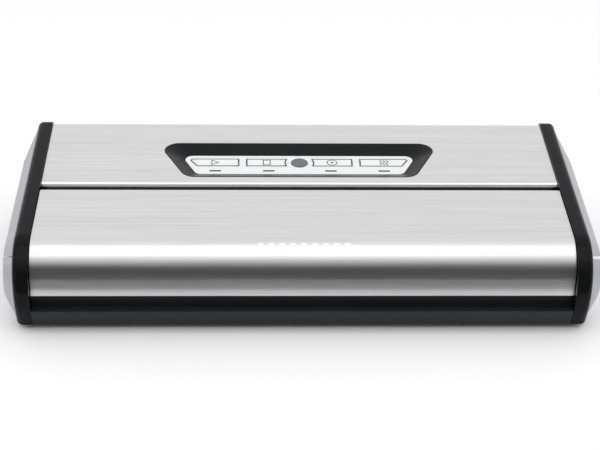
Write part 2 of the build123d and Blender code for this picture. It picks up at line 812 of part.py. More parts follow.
def key_outlines():
    """Outlines of the four keys on the sloping top. Inner keys curve round the lamp."""
    inner_start, inner_end = key_inner_span
    lamp_room = Pos(0, lamp_line) * Circle(lamp_radius + 3.6)
    inner = Pos((inner_start + inner_end) / 2, (key_front + key_back) / 2) * Rectangle(
        inner_end - inner_start, key_back - key_front
    )
    inner -= lamp_room
    outer = make_face(
        Polyline(
            (key_outer_start, key_front),
            (key_outer_front, key_front),
            (key_outer_back, key_back - 2.0),
            (key_outer_back - 1.2, key_back),
            (key_outer_start, key_back),
            close=True,
        )
    )
    return {
        "start_key": mirror(outer, about=Plane.YZ),
        "stop_key": mirror(inner, about=Plane.YZ),
        "mode_key": inner,
        "seal_key": outer,
    }


def key_centre(name):
    outline = key_outlines()[name]
    box = outline.bounding_box()
    return (box.min.X + box.max.X) / 2, (box.min.Y + box.max.Y) / 2


def key_cap(name):
    outline = key_outlines()[name]
    under = overlay_depth + overlay_thickness + bezel_floor + 0.1
    cap = on_top(outline, overlay_depth - key_proud, under + 0.5)
    flange = on_top(offset(outline, key_flange, kind=Kind.INTERSECTION), under, under + 0.5)
    foot = on_top(Pos(*key_centre(name)) * Circle(key_foot_radius), under, switch_top() + 0.4)
    return cap + flange + foot


def switch_top():
    return board_depth - 1.9


def control_overlay():
    plate = on_top(overlay_shape(-0.15), overlay_depth, overlay_depth + overlay_thickness)
    for outline in key_outlines().values():
        plate -= on_top(offset(outline, key_gap), 0, 20)
    plate -= on_top(Pos(0, lamp_line) * Circle(lamp_radius), 0, 20)
    for x in window_xs():
        plate -= on_top(Pos(x, window_line) * SlotOverall(window_length, window_height), 0, 20)
    return plate


def status_lens():
    disc = on_top(Pos(0, lamp_line) * Circle(lamp_radius - 0.1), overlay_depth - 0.5, overlay_depth + overlay_thickness)
    return fillet(disc.edges().sort_by(Axis.Z)[-1], 0.4)


def indicator_windows():
    return group(
        [
            on_top(
                Pos(x, window_line) * SlotOverall(window_length - 0.1, window_height - 0.1),
                overlay_depth - 0.1,
                overlay_depth + overlay_thickness,
            )
            for x in window_xs()
        ]
    )


def control_board():
    board = on_top(
        Pos(0, 31.5) * Rectangle(2 * board_half, 26.0), board_depth, board_depth + board_thickness
    )
    for x, y in board_posts():
        board -= on_top(Pos(x, y) * Circle(1.0), 0, 20)
    return board


def board_screws():
    shapes = []
    for x, y in board_posts():
        head = on_top(Pos(x, y) * Circle(2.2), board_depth + board_thickness, board_depth + board_thickness + 1.4)
        shank = on_top(Pos(x, y) * Circle(0.9), board_depth - 3.0, board_depth + board_thickness)
        shapes.append(head + shank)
    return group(shapes)


def key_switches():
    shapes = []
    for name in key_outlines():
        x, y = key_centre(name)
        body = on_top(Pos(x, y) * Rectangle(6, 6), switch_top(), board_depth)
        shapes.append(body - on_top(Pos(x, y) * Circle(key_foot_radius + 0.3), switch_top(), switch_top() + 1.5))
    return group(shapes)


def indicator_leds():
    places = [(x, window_line) for x in window_xs()] + [(0.0, lamp_line)]
    return group([on_top(Pos(*p) * Rectangle(3.2, 1.6), board_depth - 1.1, board_depth) for p in places])


# ---------------------------------------------------------------- pump, power and wiring
def pump_head():
    length, breadth, height = head_size
    x0 = pump_x - length / 2
    z0 = motor_z - 17.0
    head = block(x0, x0 + length, pump_y - breadth / 2, pump_y + breadth / 2, z0, z0 + height)
    room = eccentric_radius + eccentric_throw + 1.5
    head -= rod_x(x0 + 4, x0 + length - 4, pump_y, motor_z, room)
    head -= rod_x(x0, x0 + 4, pump_y, motor_z, shaft_radius + 0.4)
    return head


def pump_cover():
    length, breadth, height = head_size
    z0 = motor_z - 17.0 + height
    cover = block(
        pump_x - length / 2, pump_x + length / 2, pump_y - breadth / 2, pump_y + breadth / 2, z0 + 1.0, z0 + 7.0
    )
    spigot = Pos(hose_port_x(), pump_y - breadth / 2 - 4, z0 + 4.0) * Rot(90, 0, 0) * Cylinder(hose_bore, 8.0)
    bore = Pos(hose_port_x(), pump_y - breadth / 2 - 4, z0 + 4.0) * Rot(90, 0, 0) * Cylinder(0.9, 20.0)
    return cover + spigot - bore


def pump_diaphragm():
    length, breadth, height = head_size
    z0 = motor_z - 17.0 + height
    return block(
        pump_x - length / 2, pump_x + length / 2, pump_y - breadth / 2, pump_y + breadth / 2, z0, z0 + 1.0
    )


def pump_cradle():
    """Rubber block under the pump and motor."""
    x0, x1 = pump_x - head_size[0] / 2 - motor_length, pump_x + head_size[0] / 2
    under = motor_z - 17.0
    cradle = block(x0, x1, pump_y - 13, pump_y + 13, floor_top, under)
    cradle += block(x0 + 4, x0 + 12, pump_y - 13, pump_y + 13, floor_top, motor_z - 6)
    return cradle - rod_x(x0 - 1, x0 + motor_length, pump_y, motor_z, motor_radius)


def motor_can():
    x0 = pump_x - head_size[0] / 2 - motor_length
    can = rod_x(x0, x0 + motor_length, pump_y, motor_z, motor_radius)
    can = fillet(can.edges(), 1.5)
    can += rod_x(x0 - 2, x0 + 1, pump_y, motor_z, 5.0)
    return can - rod_x(x0 + motor_length - 14, x0 + motor_length, pump_y, motor_z, shaft_radius + 0.05)


def motor_shaft():
    """Shaft with the eccentric that drives the diaphragm."""
    x0 = pump_x - head_size[0] / 2
    shaft = rod_x(x0 - 12, pump_x + 4, pump_y, motor_z, shaft_radius)
    disc = rod_x(pump_x - 8, pump_x - 2, pump_y, motor_z - eccentric_throw, eccentric_radius)
    return shaft + disc


def vacuum_hose():
    """From the trough's nozzle under the deck and up to the pump."""
    x = hose_port_x()
    start = trough_back + trough_wall
    rise = motor_z - 17.0 + head_size[2] + 4.0
    entry = pump_y - head_size[1] / 2
    turn = groove_back + 20.0
    path = FilletPolyline(
        (x, start, hose_line), (x, turn, hose_line), (x, turn, rise), (x, entry, rise), radius=[10.0, 9.0]
    )
    ring = Circle(hose_radius) - Circle(hose_bore)
    return sweep(Plane(origin=path @ 0, x_dir=(1, 0, 0), z_dir=path % 0) * ring, path=path)


def transformer_core():
    length, breadth, height = core_size
    x, y = core_place
    core = block(x - length / 2, x + length / 2, y - breadth / 2, y + breadth / 2, floor_top, floor_top + height)
    limb = 8.0
    for side in (-1, 1):
        x0, x1 = sorted((x + side * limb, x + side * (length / 2 - limb)))
        core -= block(x0, x1, y - breadth, y + breadth, floor_top + limb, floor_top + height - limb)
    return core


def transformer_winding():
    x, y = core_place
    height, limb = core_size[2], 8.0
    z0, z1 = floor_top + limb + seam, floor_top + height - limb - seam
    coil = block(x - 15.5, x + 15.5, y - 17.5, y + 17.5, z0, z1)
    coil = fillet(coil.edges().filter_by(Axis.Z), 4)
    return coil - block(x - limb, x + limb, y - core_size[1] / 2, y + core_size[1] / 2, z0, z1)


def power_board():
    (x0, x1), (y0, y1) = power_board_box
    board = block(x0, x1, y0, y1, power_board_top - board_thickness, power_board_top)
    for x in (x0 + 5, x1 - 5):
        for y in (y0 + 5, y1 - 5):
            board += rod_z(x, y, floor_top, power_board_top - board_thickness, 3.0)
    return board


def power_components():
    """Relay, capacitors, fuse holder, heat sink and terminal block."""
    (x0, x1), (y0, y1) = power_board_box
    z = power_board_top
    shapes = [
        block(x0 + 10, x0 + 29, y0 + 8, y0 + 23, z, z + 15),
        block(x0 + 12, x0 + 34, y1 - 14, y1 - 8, z, z + 9),
        rod_z(x0 + 46, y0 + 16, z, z + 20, 6.5),
        rod_z(x0 + 62, y0 + 14, z, z + 14, 4.0),
        rod_z(x0 + 73, y0 + 14, z, z + 14, 4.0),
        block(x1 - 40, x1 - 12, y1 - 20, y1 - 17, z, z + 26),
        block(x1 - 30, x1 - 8, y0 + 6, y0 + 14, z, z + 10),
    ]
    return group(shapes)


def lid_switch():
    """Microswitch under the deck that senses the lid."""
    x, y = -trough_half - 12.0, -18.0
    body = block(x - 10, x + 10, y - 3, y + 3, deck_bottom - 12, deck_bottom)
    lever = block(x - 9, x + 8, y - 1.5, y + 1.5, deck_bottom - 13.2, deck_bottom - 12.0)
    return body + lever


# ---------------------------------------------------------------- write one STEP per sub-part
def make_parts():
    parts = {
        "lower_housing": lower_housing(),
        "chamber_deck": chamber_deck(),
        "suction_trough": suction_trough(),
        "rear_deck": rear_deck(),
        "rear_panel": rear_panel(),
        "end_cap_right": end_cap_right(),
        "wing_right": wing_right(),
        "wing_left": mirrored(wing_right()),
        "release_button_right": release_button_right(seam_gap_right),
        "release_button_left": mirrored(release_button_right(seam_gap_left)),
        "latch_slide_right": latch_slide_right(),
        "latch_spring_right": latch_spring_right(),
        "control_bezel": control_bezel(),
        "control_overlay": control_overlay(),
        "status_lens": status_lens(),
        "indicator_windows": indicator_windows(),
        "control_board": control_board(),
        "board_screws": board_screws(),
        "key_switches": key_switches(),
        "indicator_leds": indicator_leds(),
        "lower_gasket": lower_gasket(),
        "heater_bar": heater_bar(),
        "heater_ribbon": heater_ribbon(),
        "heater_tape": heater_tape(),
        "suction_nozzle": suction_nozzle(),
        "vacuum_hose": vacuum_hose(),
        "pump_head": pump_head(),
        "pump_cover": pump_cover(),
        "pump_diaphragm": pump_diaphragm(),
        "pump_cradle": pump_cradle(),
        "motor_can": motor_can(),
        "motor_shaft": motor_shaft(),
        "transformer_core": transformer_core(),
        "transformer_winding": transformer_winding(),
        "power_board": power_board(),
        "power_components": power_components(),
        "lid_switch": lid_switch(),
        "cord_gland": cord_gland(),
        "rubber_feet": rubber_feet(),
        "housing_screws": housing_screws(),
        "cap_screws": cap_screws(),
        "hinge_pins": hinge_pins(),
        "lid_skin": lid_skin(),
        "lid_frame": lid_frame(),
        "lid_liner": lid_liner(),
        "upper_gasket": upper_gasket(),
        "pressure_bar": pressure_bar(),
        "latch_hooks": latch_hooks(),
        "lid_screws": lid_screws(),
    }
    for name in ("end_cap", "latch_slide", "latch_spring"):
        parts[f"{name}_left"] = mirrored(parts[f"{name}_right"])
    for name in key_outlines():
        parts[name] = key_cap(name)
    return parts


os.makedirs("parts", exist_ok=True)
for node, shape in make_parts().items():
    export_step(shape, f"parts/{node}.step")
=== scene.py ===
import math

import bpy
import numpy as np
from mathutils import Euler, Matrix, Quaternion, Vector


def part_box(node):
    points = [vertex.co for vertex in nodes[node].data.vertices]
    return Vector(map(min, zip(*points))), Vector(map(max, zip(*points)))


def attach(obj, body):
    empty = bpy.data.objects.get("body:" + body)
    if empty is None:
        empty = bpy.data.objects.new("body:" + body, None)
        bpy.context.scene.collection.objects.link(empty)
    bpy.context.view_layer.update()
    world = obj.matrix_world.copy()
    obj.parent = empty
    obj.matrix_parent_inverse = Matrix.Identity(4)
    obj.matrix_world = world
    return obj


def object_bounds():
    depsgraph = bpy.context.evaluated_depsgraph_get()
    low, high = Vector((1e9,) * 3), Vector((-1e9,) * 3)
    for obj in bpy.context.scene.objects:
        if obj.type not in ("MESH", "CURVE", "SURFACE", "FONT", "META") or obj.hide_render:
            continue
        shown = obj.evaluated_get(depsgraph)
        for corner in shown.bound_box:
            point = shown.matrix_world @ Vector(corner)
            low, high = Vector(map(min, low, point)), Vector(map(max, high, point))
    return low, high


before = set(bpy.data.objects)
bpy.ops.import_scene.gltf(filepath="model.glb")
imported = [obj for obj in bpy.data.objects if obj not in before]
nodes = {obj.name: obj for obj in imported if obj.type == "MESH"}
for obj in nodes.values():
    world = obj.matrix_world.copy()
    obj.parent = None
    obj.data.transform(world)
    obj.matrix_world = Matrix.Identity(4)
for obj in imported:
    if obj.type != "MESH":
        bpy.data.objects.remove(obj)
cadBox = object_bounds()
print("frame loaded:", len(nodes), "parts")

# Shared effects, each a node group. Lengths are in metres, so scales are repeats per metre.


def newGroup(name, inputs, outputs):
    group = bpy.data.node_groups.new(name, "ShaderNodeTree")
    for label, kind, value in inputs:
        socket = group.interface.new_socket(label, in_out="INPUT", socket_type=kind)
        if value is not None:
            socket.default_value = value
    for label, kind in outputs:
        group.interface.new_socket(label, in_out="OUTPUT", socket_type=kind)
    entry = group.nodes.new("NodeGroupInput")
    leave = group.nodes.new("NodeGroupOutput")
    entry.location, leave.location = (-900, 0), (700, 0)
    return group, entry, leave


def addNode(tree, kind, place=(0, 0), **settings):
    made = tree.nodes.new(kind)
    made.location = place
    for key, value in settings.items():
        if key in made.inputs:
            made.inputs[key].default_value = value
        else:
            setattr(made, key, value)
    return made


def join(tree, source, target):
    tree.links.new(source, target)


# brush lines: noise drawn out along X, in a fine and a broad layer
def makeBrushLines():
    group, entry, leave = newGroup(
        "brushLines",
        [("Along", "NodeSocketFloat", 14.0), ("Across", "NodeSocketFloat", 2600.0),
         ("Broad", "NodeSocketFloat", 0.12)],
        [("Fine", "NodeSocketFloat"), ("Streak", "NodeSocketFloat"), ("Cloud", "NodeSocketFloat")],
    )
    where = addNode(group, "ShaderNodeTexCoord", (-900, 300))
    spread = addNode(group, "ShaderNodeCombineXYZ", (-700, 0))
    join(group, entry.outputs["Along"], spread.inputs["X"])
    join(group, entry.outputs["Across"], spread.inputs["Y"])
    join(group, entry.outputs["Across"], spread.inputs["Z"])
    fineAt = addNode(group, "ShaderNodeVectorMath", (-500, 150), operation="MULTIPLY")
    join(group, where.outputs["Object"], fineAt.inputs[0])
    join(group, spread.outputs[0], fineAt.inputs[1])
    broadAt = addNode(group, "ShaderNodeVectorMath", (-300, -50), operation="SCALE")
    join(group, fineAt.outputs[0], broadAt.inputs[0])
    join(group, entry.outputs["Broad"], broadAt.inputs["Scale"])
    fine = addNode(group, "ShaderNodeTexNoise", (-100, 200), Scale=1.0, Detail=3.0, Roughness=0.65)
    streak = addNode(group, "ShaderNodeTexNoise", (-100, 0), Scale=1.0, Detail=4.0, Roughness=0.7)
    cloud = addNode(group, "ShaderNodeTexNoise", (-100, -200), Scale=9.0, Detail=3.0, Roughness=0.55)
    join(group, fineAt.outputs[0], fine.inputs["Vector"])
    join(group, broadAt.outputs[0], streak.inputs["Vector"])
    join(group, where.outputs["Object"], cloud.inputs["Vector"])
    for texture, label in ((fine, "Fine"), (streak, "Streak"), (cloud, "Cloud")):
        join(group, texture.outputs["Fac"], leave.inputs[label])
    return group


# moulded grain: small cells for spark-eroded plastic, over slow blotches
def makeMouldGrain():
    group, entry, leave = newGroup(
        "mouldGrain",
        [("Size", "NodeSocketFloat", 1800.0), ("Blotch", "NodeSocketFloat", 30.0)],
        [("Grain", "NodeSocketFloat"), ("Tone", "NodeSocketFloat")],
    )
    where = addNode(group, "ShaderNodeTexCoord", (-900, 300))
    cells = addNode(group, "ShaderNodeTexVoronoi", (-500, 200), feature="SMOOTH_F1", Smoothness=0.6)
    rough = addNode(group, "ShaderNodeTexNoise", (-500, 0), Detail=5.0, Roughness=0.6)
    blotch = addNode(group, "ShaderNodeTexNoise", (-500, -200), Detail=4.0, Roughness=0.6)
    for texture in (cells, rough, blotch):
        join(group, where.outputs["Object"], texture.inputs["Vector"])
    join(group, entry.outputs["Size"], cells.inputs["Scale"])
    join(group, entry.outputs["Size"], rough.inputs["Scale"])
    join(group, entry.outputs["Blotch"], blotch.inputs["Scale"])
    both = addNode(group, "ShaderNodeMath", (-200, 100), operation="ADD")
    join(group, cells.outputs["Distance"], both.inputs[0])
    join(group, rough.outputs["Fac"], both.inputs[1])
    join(group, both.outputs[0], leave.inputs["Grain"])
    join(group, blotch.outputs["Fac"], leave.inputs["Tone"])
    return group


# soft edges: the normal a small round would have, and a mask of where that round lies
def makeSoftEdges():
    group, entry, leave = newGroup(
        "softEdges",
        [("Round", "NodeSocketFloat", 0.0004), ("Gain", "NodeSocketFloat", 6.0)],
        [("Normal", "NodeSocketVector"), ("Edge", "NodeSocketFloat")],
    )
    bevel = addNode(group, "ShaderNodeBevel", (-500, 100), samples=6)
    flat = addNode(group, "ShaderNodeNewGeometry", (-500, -100))
    join(group, entry.outputs["Round"], bevel.inputs["Radius"])
    likeness = addNode(group, "ShaderNodeVectorMath", (-250, 0), operation="DOT_PRODUCT")
    join(group, bevel.outputs["Normal"], likeness.inputs[0])
    join(group, flat.outputs["Normal"], likeness.inputs[1])
    turn = addNode(group, "ShaderNodeMath", (-50, 0), operation="SUBTRACT")
    turn.inputs[0].default_value = 1.0
    join(group, likeness.outputs["Value"], turn.inputs[1])
    gain = addNode(group, "ShaderNodeMath", (150, 0), operation="MULTIPLY", use_clamp=True)
    join(group, turn.outputs[0], gain.inputs[0])
    join(group, entry.outputs["Gain"], gain.inputs[1])
    join(group, bevel.outputs["Normal"], leave.inputs["Normal"])
    join(group, gain.outputs[0], leave.inputs["Edge"])
    return group


# dust: thin, only on faces that look up, in patches
def makeDust():
    group, entry, leave = newGroup(
        "dust",
        [("Amount", "NodeSocketFloat", 0.1), ("Patch", "NodeSocketFloat", 60.0)],
        [("Mask", "NodeSocketFloat")],
    )
    where = addNode(group, "ShaderNodeTexCoord", (-900, 200))
    patch = addNode(group, "ShaderNodeTexNoise", (-600, 200), Detail=6.0, Roughness=0.7)
    join(group, where.outputs["Object"], patch.inputs["Vector"])
    join(group, entry.outputs["Patch"], patch.inputs["Scale"])
    flat = addNode(group, "ShaderNodeNewGeometry", (-900, -100))
    parts = addNode(group, "ShaderNodeSeparateXYZ", (-700, -100))
    join(group, flat.outputs["Normal"], parts.inputs[0])
    upward = addNode(group, "ShaderNodeMapRange", (-500, -100))
    upward.inputs["From Min"].default_value = 0.5
    join(group, parts.outputs["Z"], upward.inputs["Value"])
    spots = addNode(group, "ShaderNodeMapRange", (-350, 200))
    spots.inputs["From Min"].default_value = 0.42
    spots.inputs["From Max"].default_value = 0.75
    join(group, patch.outputs["Fac"], spots.inputs["Value"])
    both = addNode(group, "ShaderNodeMath", (-100, 50), operation="MULTIPLY")
    join(group, upward.outputs[0], both.inputs[0])
    join(group, spots.outputs[0], both.inputs[1])
    amount = addNode(group, "ShaderNodeMath", (100, 50), operation="MULTIPLY")
    join(group, both.outputs[0], amount.inputs[0])
    join(group, entry.outputs["Amount"], amount.inputs[1])
    join(group, amount.outputs[0], leave.inputs["Mask"])
    return group


brushLines = makeBrushLines()
mouldGrain = makeMouldGrain()
softEdges = makeSoftEdges()
dust = makeDust()
print("shared effects made")


def useGroup(tree, group, place, **values):
    made = tree.nodes.new("ShaderNodeGroup")
    made.node_tree = group
    made.location = place
    for label, value in values.items():
        made.inputs[label].default_value = value
    return made


def startMaterial(name, roughness, metallic=0.0, **shaderValues):
    made = bpy.data.materials.new(name)
    made.use_nodes = True
    tree = made.node_tree
    shader = tree.nodes["Principled BSDF"]
    shader.inputs["Roughness"].default_value = roughness
    shader.inputs["Metallic"].default_value = metallic
    for label, value in shaderValues.items():
        shader.inputs[label].default_value = value
    return made, tree, shader


def remap(tree, source, low, high, place):
    made = addNode(tree, "ShaderNodeMapRange", place)
    made.inputs["To Min"].default_value = low
    made.inputs["To Max"].default_value = high
    join(tree, source, made.inputs["Value"])
    return made.outputs[0]


def mixColours(tree, factor, first, second, place, blend="MIX"):
    made = addNode(tree, "ShaderNodeMix", place, data_type="RGBA", blend_type=blend)
    for socket, value in ((made.inputs[0], factor), (made.inputs[6], first), (made.inputs[7], second)):
        if isinstance(value, (int, float)):
            socket.default_value = value
        elif isinstance(value, tuple):
            socket.default_value = (*value, 1.0)
        else:
            join(tree, value, socket)
    return made.outputs[2]


def plastic(name, colour, roughness, grainSize=1800.0, grainDepth=0.00002, spread=0.06, shade=0.12, edge=0.0,
            edgeRound=0.0003, dustAmount=0.05, **shaderValues):
    made, tree, shader = startMaterial(name, roughness, **shaderValues)
    grain = useGroup(tree, mouldGrain, (-900, 100), Size=grainSize, Blotch=22.0)
    soft = useGroup(tree, softEdges, (-900, -200), Round=edgeRound, Gain=5.0)
    film = useGroup(tree, dust, (-900, -400), Amount=dustAmount, Patch=70.0)
    dark = tuple(c * (1 - shade) for c in colour)
    light = tuple(min(1.0, c * (1 + shade)) for c in colour)
    base = mixColours(tree, grain.outputs["Tone"], dark, light, (-600, 200))
    # painted highlight: where the soft-edge mask lies, edges blend toward a paler copy of the colour, standing in for
    # the sheen a rounded edge catches
    edgeHighlightColour = tuple(min(1.0, c * 1.7 + 0.03) for c in colour)
    edgeHighlightMask = remap(tree, soft.outputs["Edge"], 0.0, edge, (-600, -200))
    base = mixColours(tree, edgeHighlightMask, base, edgeHighlightColour, (-350, 200))
    base = mixColours(tree, film.outputs["Mask"], base, (0.55, 0.53, 0.5), (-150, 200))
    join(tree, base, shader.inputs["Base Color"])
    level = remap(tree, grain.outputs["Tone"], max(0.02, roughness - spread), roughness + spread, (-600, 0))
    join(tree, level, shader.inputs["Roughness"])
    bump = addNode(tree, "ShaderNodeBump", (-300, -300), Strength=1.0, Distance=grainDepth)
    join(tree, grain.outputs["Grain"], bump.inputs["Height"])
    join(tree, soft.outputs["Normal"], bump.inputs["Normal"])
    join(tree, bump.outputs[0], shader.inputs["Normal"])
    return made


def metal(name, colour, roughness, along=14.0, across=2600.0, depth=0.000004, spread=0.05, shade=0.08,
          edgeRound=0.0002, cloud=0.12, **shaderValues):
    made, tree, shader = startMaterial(name, roughness, metallic=1.0, **shaderValues)
    lines = useGroup(tree, brushLines, (-1000, 100), Along=along, Across=across, Broad=0.16)
    soft = useGroup(tree, softEdges, (-1000, -250), Round=edgeRound, Gain=4.0)
    both = mixColours(tree, 0.5, lines.outputs["Fine"], lines.outputs["Streak"], (-800, 200))
    dark = tuple(c * (1 - shade) for c in colour)
    light = tuple(min(1.0, c * (1 + shade)) for c in colour)
    base = mixColours(tree, both, dark, light, (-550, 200))
    base = mixColours(tree, remap(tree, lines.outputs["Cloud"], 0.0, cloud, (-800, 400)), base,
                      tuple(c * 0.85 for c in colour), (-350, 250))
    join(tree, base, shader.inputs["Base Color"])
    level = remap(tree, lines.outputs["Streak"], roughness - spread, roughness + spread, (-550, 0))
    join(tree, level, shader.inputs["Roughness"])
    bump = addNode(tree, "ShaderNodeBump", (-300, -250), Strength=1.0, Distance=depth)
    join(tree, both, bump.inputs["Height"])
    join(tree, soft.outputs["Normal"], bump.inputs["Normal"])
    join(tree, bump.outputs[0], shader.inputs["Normal"])
    return made


# Weave: crossed threads from two sine waves at right angles, for the seal tape
def wovenTape(name, colour, threads=1500.0):
    made, tree, shader = startMaterial(name, 0.45)
    where = addNode(tree, "ShaderNodeTexCoord", (-1100, 0))
    waves = []
    for direction, place in (("X", (-850, 150)), ("Y", (-850, -150))):
        wave = addNode(tree, "ShaderNodeTexWave", place, Scale=threads / 6.3, bands_direction=direction)
        join(tree, where.outputs["Object"], wave.inputs["Vector"])
        waves.append(wave.outputs["Fac"])
    cross = addNode(tree, "ShaderNodeMath", (-600, 0), operation="MAXIMUM")
    join(tree, waves[0], cross.inputs[0])
    join(tree, waves[1], cross.inputs[1])
    join(tree, mixColours(tree, cross.outputs[0], tuple(c * 0.7 for c in colour), colour, (-350, 200)),
         shader.inputs["Base Color"])
    bump = addNode(tree, "ShaderNodeBump", (-300, -200), Strength=0.6, Distance=0.00005)
    join(tree, cross.outputs[0], bump.inputs["Height"])
    join(tree, bump.outputs[0], shader.inputs["Normal"])
    return made


finishes = {
    "brushedSteel": metal("brushedSteel", (0.745, 0.733, 0.74), 0.31, along=26.0, across=2200.0,
                          shade=0.42, cloud=0.45),
    "capGloss": plastic("capGloss", (0.006, 0.007, 0.008), 0.07, grainSize=500.0, grainDepth=0.000003,
                        spread=0.02,
                        edge=0.02, dustAmount=0.002, **{"Specular IOR Level": 0.09}),
    "housingBlack": plastic("housingBlack", (0.017, 0.02, 0.024), 0.34, grainDepth=0.00001, edge=0.2,
                            dustAmount=0.01,
                            **{"Specular IOR Level": 0.2}),
    "deckBlack": plastic("deckBlack", (0.018, 0.019, 0.021), 0.42, grainSize=1500.0, grainDepth=0.00003,
                         edge=0.3),
    "bezelBlack": plastic("bezelBlack", (0.006, 0.007, 0.009), 0.26, grainDepth=0.000008, edge=0.15,
                          dustAmount=0.005,
                          **{"Specular IOR Level": 0.15}),
    "wingSilver": plastic("wingSilver", (0.45, 0.45, 0.49), 0.38, grainSize=2600.0, grainDepth=0.000008,
                          edge=0.25,
                          edgeRound=0.0006, dustAmount=0.02, Metallic=0.55),
    "overlayFilm": plastic("overlayFilm", (0.82, 0.84, 0.84), 0.42, grainSize=3000.0, grainDepth=0.000006,
                           shade=0.03,
                           dustAmount=0.01),
    "keyFilm": plastic("keyFilm", (0.84, 0.86, 0.86), 0.4, grainSize=3000.0, grainDepth=0.000006, shade=0.03,
                       dustAmount=0.01),
    "lampGrey": plastic("lampGrey", (0.085, 0.105, 0.12), 0.2, grainSize=900.0, grainDepth=0.000004,
                        dustAmount=0.02,
                        **{"Coat Weight": 0.4, "Coat Roughness": 0.08}),
    "windowDark": plastic("windowDark", (0.035, 0.045, 0.055), 0.22, grainDepth=0.000004),
    "printInk": plastic("printInk", (0.02, 0.023, 0.027), 0.5, grainDepth=0.000004),
    "foamRubber": plastic("foamRubber", (0.022, 0.022, 0.024), 0.8, grainSize=1100.0, grainDepth=0.00012,
                          shade=0.25,
                          dustAmount=0.12),
    "footRubber": plastic("footRubber", (0.02, 0.02, 0.02), 0.72, grainSize=1500.0, grainDepth=0.00004),
    "siliconeStrip": plastic("siliconeStrip", (0.05, 0.05, 0.052), 0.55, grainSize=900.0, grainDepth=0.00002),
    "hoseSilicone": plastic("hoseSilicone", (0.62, 0.63, 0.6), 0.35, grainSize=700.0, grainDepth=0.00001),
    "acetalWhite": plastic("acetalWhite", (0.72, 0.71, 0.67), 0.4, grainDepth=0.00001, shade=0.05),
    "mouldedGrey": plastic("mouldedGrey", (0.06, 0.06, 0.065), 0.5, grainDepth=0.00002),
    "boardGreen": plastic("boardGreen", (0.02, 0.12, 0.05), 0.3, grainSize=600.0, grainDepth=0.00001),
    "windingTape": plastic("windingTape", (0.62, 0.45, 0.06), 0.25, grainSize=500.0, grainDepth=0.00001),
    "ledClear": plastic("ledClear", (0.7, 0.7, 0.6), 0.15, grainSize=600.0, grainDepth=0.000004),
    "aluminium": metal("aluminium", (0.75, 0.76, 0.77), 0.3, along=30.0, across=1800.0),
    "zincSteel": metal("zincSteel", (0.6, 0.6, 0.61), 0.28, along=600.0, across=900.0, spread=0.08),
    "springSteel": metal("springSteel", (0.55, 0.55, 0.57), 0.2, along=900.0, across=900.0),
    "nichrome": metal("nichrome", (0.42, 0.38, 0.34), 0.35, along=40.0, across=2400.0),
    "coreIron": metal("coreIron", (0.16, 0.16, 0.18), 0.5, along=2000.0, across=60.0, depth=0.00005),
    "sealTape": wovenTape("sealTape", (0.24, 0.13, 0.05)),
}

wears = {
    "brushedSteel": ["lid_skin", "rear_panel"],
    "capGloss": ["end_cap_left", "end_cap_right"],
    "wingSilver": ["wing_left", "wing_right", "release_button_left", "release_button_right"],
    "housingBlack": ["lower_housing", "rear_deck", "lid_frame"],
    "deckBlack": ["chamber_deck", "suction_trough", "lid_liner"],
    "bezelBlack": ["control_bezel"],
    "overlayFilm": ["control_overlay"],
    "keyFilm": ["start_key", "stop_key", "mode_key", "seal_key"],
    "lampGrey": ["status_lens"],
    "windowDark": ["indicator_windows"],
    "foamRubber": ["lower_gasket", "upper_gasket", "pump_cradle", "pump_diaphragm"],
    "footRubber": ["rubber_feet", "cord_gland"],
    "siliconeStrip": ["pressure_bar"],
    "hoseSilicone": ["vacuum_hose"],
    "acetalWhite": ["latch_slide_left", "latch_slide_right", "latch_hooks", "suction_nozzle"],
    "mouldedGrey": ["pump_head", "pump_cover", "power_components", "key_switches", "lid_switch"],
    "boardGreen": ["control_board", "power_board"],
    "windingTape": ["transformer_winding"],
    "ledClear": ["indicator_leds"],
    "aluminium": ["heater_bar"],
    "zincSteel": ["housing_screws", "cap_screws", "hinge_pins", "lid_screws", "board_screws", "motor_can",
                  "motor_shaft"],
    "springSteel": ["latch_spring_left", "latch_spring_right"],
    "nichrome": ["heater_ribbon"],
    "coreIron": ["transformer_core"],
    "sealTape": ["heater_tape"],
}
for finishName, names in wears.items():
    for name in names:
        piece = nodes[name]
        piece.data.materials.clear()
        piece.data.materials.append(finishes[finishName])
print("finishes set on", sum(len(v) for v in wears.values()), "parts")

# Keys' printing: flat ribbons of ink on the sloping panel
panel = {"slope": math.radians(5.3), "keyDepth": 0.0039, "keyBack": 0.0393,
         "inkThick": 0.00006, "lineWide": 0.00075}
slopeSin, slopeCos = math.sin(panel["slope"]), math.cos(panel["slope"])
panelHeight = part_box("start_key")[1].z - panel["keyBack"] * slopeSin + panel["keyDepth"] * slopeCos


def ontoPanel(across, along, above):
    # a point on the panel: along the slope from the origin's line, then out along the slope's normal
    lift = above - panel["keyDepth"]
    return np.stack(
        [across, along * slopeCos - lift * slopeSin, panelHeight + along * slopeSin + lift * slopeCos], axis=-1
    )


